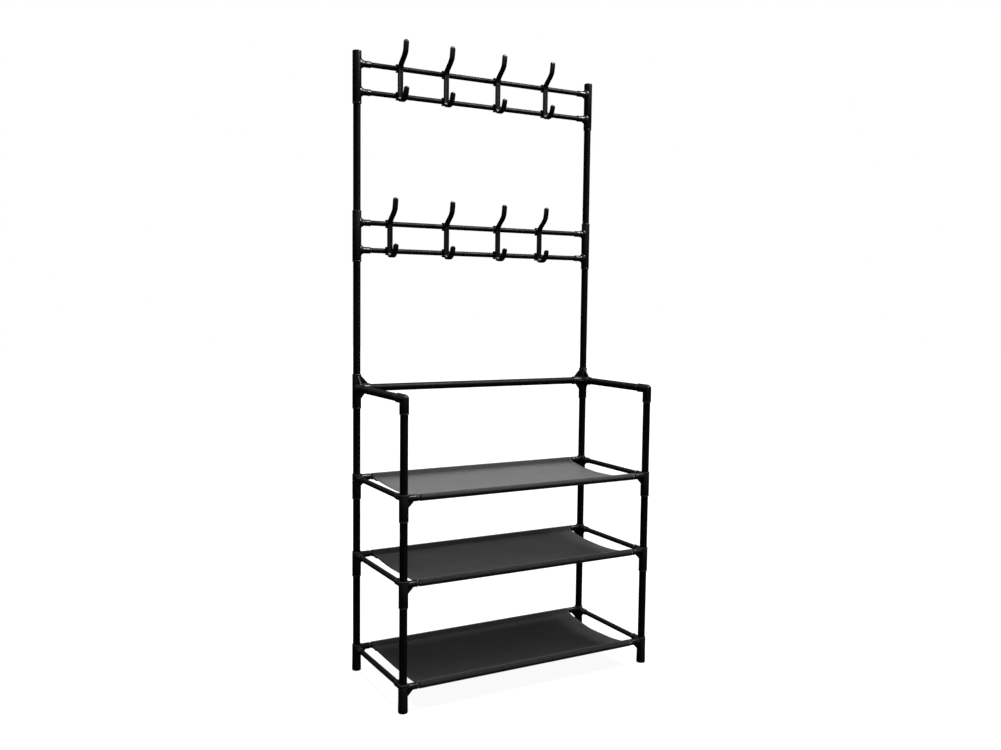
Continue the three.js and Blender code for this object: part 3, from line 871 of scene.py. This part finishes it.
def panel_points(half_x, half_y, seed):
    """The cloth between its two seams as a grid of rows from front to rear, in mm round the shelf centre."""
    span = half_y - SEAM_OUT
    rows = []
    for j in range(ROWS + 1):
        t = j / ROWS * 2 - 1
        y = span * t
        depth = y / half_y
        reach = reach_at(depth, half_x)
        row = []
        for i in range(COLUMNS + 1):
            u = i / COLUMNS * 2 - 1
            x = reach * u
            spot = Vector((x / RIPPLE_X + seed * RIPPLE_SHIFT, y / RIPPLE_Y, seed))
            ripple = noise.noise(spot) * RIPPLE * (1 - t * t)
            side = SIDE_WAVE * abs(u) ** 6 * math.sin(math.pi * (t + 1) * 2 + seed) * (1 - t * t)
            row.append(Vector((x, y, sag_at(t) + ripple + side)))
        rows.append(row)
    return rows


def simulate(rows):
    """Let the panel hang from its two seams, then take its shape. No point moves past LARGEST_MOVE."""
    width = len(rows[0])
    points = [p * MM for row in rows for p in row]
    mesh = bpy.data.meshes.new("panel")
    mesh.from_pydata([tuple(p) for p in points], [], grid_faces(len(rows), width))
    panel = bpy.data.objects.new("panel", mesh)
    bpy.context.scene.collection.objects.link(panel)
    group = panel.vertex_groups.new(name="seams")
    last = (len(rows) - 1) * width
    group.add([*range(width), *range(last, last + width)], 1.0, "REPLACE")
    cloth = panel.modifiers.new("cloth", "CLOTH")
    for key, value in CLOTH_SETTINGS.items():
        setattr(cloth.settings, key, value)
    cloth.collision_settings.use_collision = False
    scene = bpy.context.scene
    scene.frame_start, scene.frame_end = 1, CLOTH_FRAMES
    cloth.point_cache.frame_start, cloth.point_cache.frame_end = 1, CLOTH_FRAMES
    for number in range(1, CLOTH_FRAMES + 1):
        scene.frame_set(number)
    evaluated = panel.evaluated_get(bpy.context.evaluated_depsgraph_get())
    result = [v.co.copy() / MM for v in evaluated.data.vertices]
    bpy.data.objects.remove(panel)
    scene.frame_set(1)
    moved = []
    for before, after in zip([p for row in rows for p in row], result):
        step = after - before
        if step.length > LARGEST_MOVE:
            step *= LARGEST_MOVE / step.length
        moved.append(before + step)
    return [moved[j * width:(j + 1) * width] for j in range(len(rows))]


def sleeve_arc(rod_y, toward):
    """Section of a sewn sleeve: from its seam over the rod and back underneath, as (y, z)."""
    far = math.hypot(SEAM_OUT, SEAM_DROP)
    tilt, lean = -math.atan2(SEAM_DROP, SEAM_OUT), math.acos(SLEEVE_LINE / far)
    points = []
    for i in range(SLEEVE_STEPS + 1):
        angle = tilt + lean + (TAU - 2 * lean) * i / SLEEVE_STEPS
        points.append((rod_y + toward * SLEEVE_LINE * math.cos(angle), SLEEVE_LINE * math.sin(angle)))
    return points


def sleeve_band(row, side, half_x, half_y):
    """Rows of a sleeve, each with the step from the cloth to its folded hem on the rod's side."""
    band = []
    for y, z in sleeve_arc(side * half_y, -side):
        inner = Vector((0, side * half_y - y, -z)).normalized() * SLEEVE_LAYER
        reach = reach_at(y / half_y, half_x)
        band.append(([Vector((p.x / row[0].x * -reach, y, z)) for p in row], inner))
    return band


def flap_band(rows):
    """The sleeve's end under the panel: one layer down, and three where both are hemmed."""
    band = []
    for row in rows:
        last = len(row) - 1
        layers = [1 + 2 * share((HEM_COLUMNS + 2 - min(i, last - i)) / 2) for i in range(last + 1)]
        band.append(([p + LAYER * n * DOWNWARD for p, n in zip(row, layers)], -LAYER * DOWNWARD))
    return band


def hemmed(row, inner):
    """The row with its two ends folded over to the inner side."""
    out = Vector((FOLD_OUT, 0, 0))
    start = [row[2] + inner, row[1] + inner, row[0] + inner / 2 - out]
    return [*start, *row, row[-1] + inner / 2 + out, row[-2] + inner, row[-3] + inner]


def grid_faces(rows, width):
    """Faces of a grid of points laid row after row."""
    return [
        (j * width + i, j * width + i + 1, (j + 1) * width + i + 1, (j + 1) * width + i)
        for j in range(rows - 1) for i in range(width - 1)
    ]


def mark_laid_flat(mesh, rows, seed):
    """Give every point its place on the flat cloth, so that the weave follows the cloth round the rods."""
    flat, across = [], 0.0
    middle = len(rows[0]) // 2
    for j, row in enumerate(rows):
        if j:
            across += (row[middle] - rows[j - 1][middle]).length
        for p in row:
            flat += [p.x * MM, across * MM, float(seed)]
    place = mesh.attributes.new("laid_flat", "FLOAT_VECTOR", "POINT")
    place.data.foreach_set("vector", flat)


def cloth_shelf(level, seed):
    """One shelf: a sagging panel, a sleeve round each rod, ends and hems folded under, and stitches."""
    node = f"{level}_shelf_cloth"
    low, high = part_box(node)
    rods = [centre_mm(f"{level}_shelf_rod_{depth}") for depth in DEPTHS]
    half_x = (high.x - low.x) / MM / 2
    half_y = (rods[1].y - rods[0].y) / 2
    centre = (rods[0] + rods[1]) / 2
    rows = panel_points(half_x, half_y, seed)
    rows = simulate(rows)
    front = sleeve_band(rows[0], -1, half_x, half_y)
    rear = sleeve_band(rows[-1], 1, half_x, half_y)
    panel = [(row, LAYER * DOWNWARD) for row in rows]
    front_flap, rear_flap = flap_band(rows[FLAP_ROWS::-1]), flap_band(rows[:-FLAP_ROWS - 2:-1])
    bands = front_flap + front[::-1] + panel + rear + rear_flap
    full = [hemmed(row, inner) for row, inner in bands]
    width = len(full[0])
    points = [(p + centre) * MM for row in full for p in row]
    faces = grid_faces(len(full), width)
    mesh = bpy.data.meshes.new(f"{node}_sewn")
    mesh.from_pydata([tuple(p) for p in points], [], faces)
    mark_laid_flat(mesh, full, seed)
    mesh.shade_smooth()
    mesh.materials.append(CLOTH_MAT)
    piece = bpy.data.objects.new(f"{node}_sewn", mesh)
    bpy.context.scene.collection.objects.link(piece)
    thick = piece.modifiers.new("thickness", "SOLIDIFY")
    thick.thickness = 2 * CLOTH_HALF * MM
    thick.offset = 0
    settle(piece, "frame", "cloth", node)
    stitches = stitch_lines(node, rows, centre)
    settle(stitches, "frame", "cloth")


def stitch_lines(node, rows, centre):
    """Short raised stitches along both sleeve seams and both side hems."""
    shell = Shell()
    pairs = ((rows[0], rows[1]), (rows[-1], rows[-2]))
    seams = [[p.lerp(q, SEAM_STITCH) for p, q in zip(edge, beside)] for edge, beside in pairs]
    hems = [[row[a].lerp(row[b], HEM_STITCH) for row in rows] for a, b in ((1, 2), (-2, -3))]
    for line in seams + hems:
        for start, end in even_steps(line, STITCH_PITCH, STITCH_LENGTH):
            add_stitch(shell, start + centre, end + centre)
    return make_object(f"{node}_stitches", shell, THREAD_MAT)


def even_steps(line, pitch, length):
    """Pairs of points, each stitch of that length, one for every pitch along the line."""
    marks = length_marks(line)
    count = int((marks[-1] - pitch / 2 - length) / pitch) + 1
    starts = [pitch / 2 + pitch * k for k in range(count)]
    return [(point_on(line, marks, at), point_on(line, marks, at + length)) for at in starts]


def add_stitch(shell, start, end):
    """One stitch: a slim rounded grain lying on the cloth."""
    lift = Vector((0, 0, CLOTH_HALF))
    turns = [TAU * i / STITCH_SIDES for i in range(STITCH_SIDES)]
    axis = (end - start).normalized()
    side = Vector((0, 0, 1)).cross(axis).normalized()
    up = axis.cross(side)
    rings = []
    for place, radius in STITCH_PROFILE:
        middle = start.lerp(end, place) + lift + Vector((0, 0, STITCH_LIFT))
        rings.append([(middle + (side * math.cos(a) + up * math.sin(a)) * radius) * MM for a in turns])
    made = shell.loft(rings)
    shell.cap(made[0], (start + lift) * MM, flip=True)
    shell.cap(made[-1], (end + lift) * MM)


# ---------------------------------------------------------------- build the rack
add_tubes()
add_connectors()
add_hooks()
for number, level in enumerate(LEVELS, 1):
    cloth_shelf(level, number)


# ---------------------------------------------------------------- floor, light and camera
def studio_floor():
    """A white floor that melts into the background and takes only a faint shadow."""
    shell = Shell()
    marks = [i / FLOOR_STEPS * 2 - 1 for i in range(FLOOR_STEPS + 1)]
    shell.points = [(FLOOR_REACH * x, FLOOR_REACH * y, 0.0) for y in marks for x in marks]
    shell.faces = grid_faces(len(marks), len(marks))
    mat, nodes, links, bsdf, vector = new_material("studio_floor_white")
    tone = ramp(nodes, links, noise_node(nodes, links, vector, 1.5, 3.0), FLOOR_TONES)
    links.new(tone, bsdf.inputs["Base Color"])
    bsdf.inputs["Emission Color"].default_value = (1, 1, 1, 1)
    bsdf.inputs["Emission Strength"].default_value = 0.95
    bsdf.inputs["Roughness"].default_value = 0.95
    bsdf.inputs["Specular IOR Level"].default_value = 0.1
    floor = make_object("studio_floor", shell, mat)
    floor.visible_glossy = False
    floor.visible_diffuse = False


def lamp(name, kind, place, aim, energy, reflects, settings):
    """A light aimed at a point, which either lights surfaces or is only reflected in them as a glint."""
    data = bpy.data.lights.new(name, kind)
    data.energy = energy
    for key, value in settings.items():
        setattr(data, key, value)
    light = bpy.data.objects.new(name, data)
    light.location = place
    light.rotation_euler = (Vector(aim) - Vector(place)).to_track_quat("-Z", "Y").to_euler()
    light.visible_glossy = reflects
    light.visible_diffuse = not reflects
    bpy.context.scene.collection.objects.link(light)


def studio_world():
    """White behind everything; the light itself comes from a darker room, brightest in front and above."""
    world = bpy.data.worlds.new("studio")
    bpy.context.scene.world = world
    world.use_nodes = True
    nodes, links = world.node_tree.nodes, world.node_tree.links
    room = nodes["Background"]
    coords = nodes.new("ShaderNodeTexCoord")
    toward = nodes.new("ShaderNodeVectorMath")
    toward.operation = "DOT_PRODUCT"
    toward.inputs[1].default_value = ROOM_BRIGHT_SIDE
    links.new(coords.outputs["Generated"], toward.inputs[0])
    tone = ramp(nodes, links, toward.outputs["Value"], ROOM_TONES)
    links.new(tone, room.inputs["Color"])
    seen = nodes.new("ShaderNodeLightPath")
    strength = nodes.new("ShaderNodeMapRange")
    strength.inputs["To Min"].default_value = ROOM_IN_GLOSS
    strength.inputs["To Max"].default_value = ROOM_ON_SURFACES
    links.new(seen.outputs["Is Diffuse Ray"], strength.inputs["Value"])
    links.new(strength.outputs["Result"], room.inputs["Strength"])
    paper = nodes.new("ShaderNodeBackground")
    paper.inputs["Color"].default_value = (1, 1, 1, 1)
    mix = nodes.new("ShaderNodeMixShader")
    links.new(seen.outputs["Is Camera Ray"], mix.inputs["Fac"])
    links.new(room.outputs["Background"], mix.inputs[1])
    links.new(paper.outputs["Background"], mix.inputs[2])
    links.new(mix.outputs["Shader"], nodes["World Output"].inputs["Surface"])


def studio():
    """Floor, surroundings and the four lamps."""
    studio_floor()
    studio_world()
    for one in LAMPS:
        lamp(*one)
    bpy.context.scene.view_settings.view_transform = "Standard"


def camera():
    """The camera that was fitted to the photographed tube lines."""
    yaw, pitch, roll = (math.radians(a) for a in CAMERA_TURN)
    forward = Vector((-math.sin(yaw) * math.cos(pitch), math.cos(yaw) * math.cos(pitch), math.sin(pitch)))
    level = Vector((math.cos(yaw), math.sin(yaw), 0))
    upright = level.cross(forward)
    right = level * math.cos(roll) + upright * math.sin(roll)
    up = -level * math.sin(roll) + upright * math.cos(roll)
    data = bpy.data.cameras.new("camera")
    data.sensor_width = SENSOR_WIDTH
    data.lens = FOCAL_PIXELS / IMAGE_PIXELS * SENSOR_WIDTH
    eye = bpy.data.objects.new("camera", data)
    matrix = Matrix((right, up, -forward)).transposed().to_4x4()
    matrix.translation = CAMERA_PLACE
    eye.matrix_world = matrix
    bpy.context.scene.collection.objects.link(eye)
    bpy.context.scene.camera = eye


studio()
camera()
